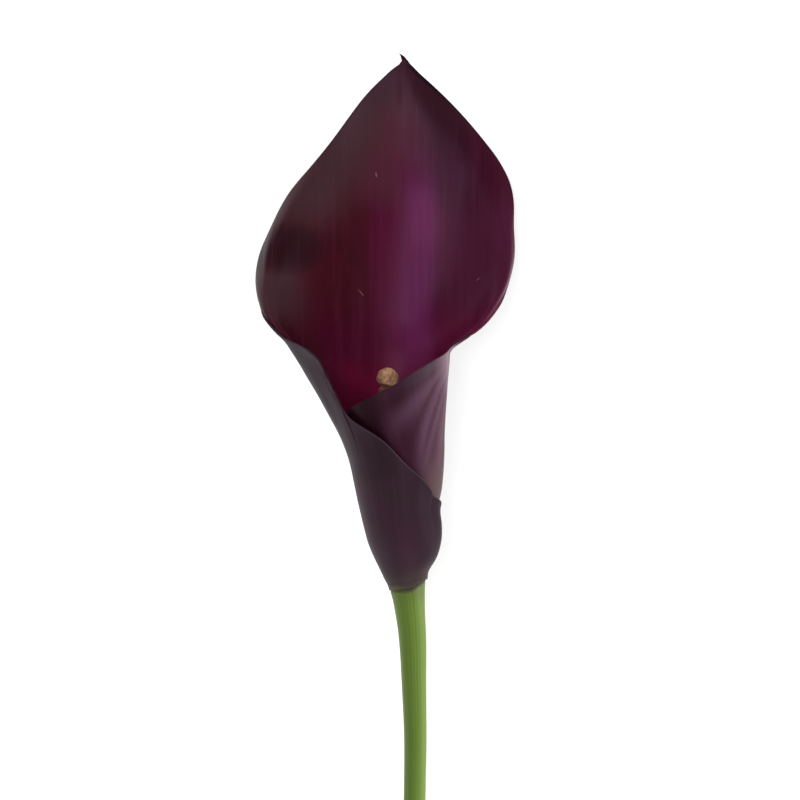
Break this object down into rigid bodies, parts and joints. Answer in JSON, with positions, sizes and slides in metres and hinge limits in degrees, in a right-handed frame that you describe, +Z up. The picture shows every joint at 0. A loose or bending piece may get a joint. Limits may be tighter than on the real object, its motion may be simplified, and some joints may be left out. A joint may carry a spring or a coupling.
{
  "type": "calla lily flower",
  "caption": "Cut calla lily flower lying on its back: a dark purple leaf rolled into a funnel with a pointed tip, an ochre finger inside it, and a green stem.",
  "frame": {"origin": "on the surface the flower lies on, under the middle of its bounding box", "axes": "+Y along the flower from the cut end to the pointed tip, +Z up out of the open side, +X to the right of the open mouth"},
  "size_m": [0.0592, 0.3076, 0.0365],
  "materials": {
    "spathe": "satin",
    "spadix": "matte",
    "stem": "satin"
  },
  "bodies": {
    "root": {"spathe": "spathe", "spadix": "spadix", "stem": "stem"}
  },
  "joints": []
}
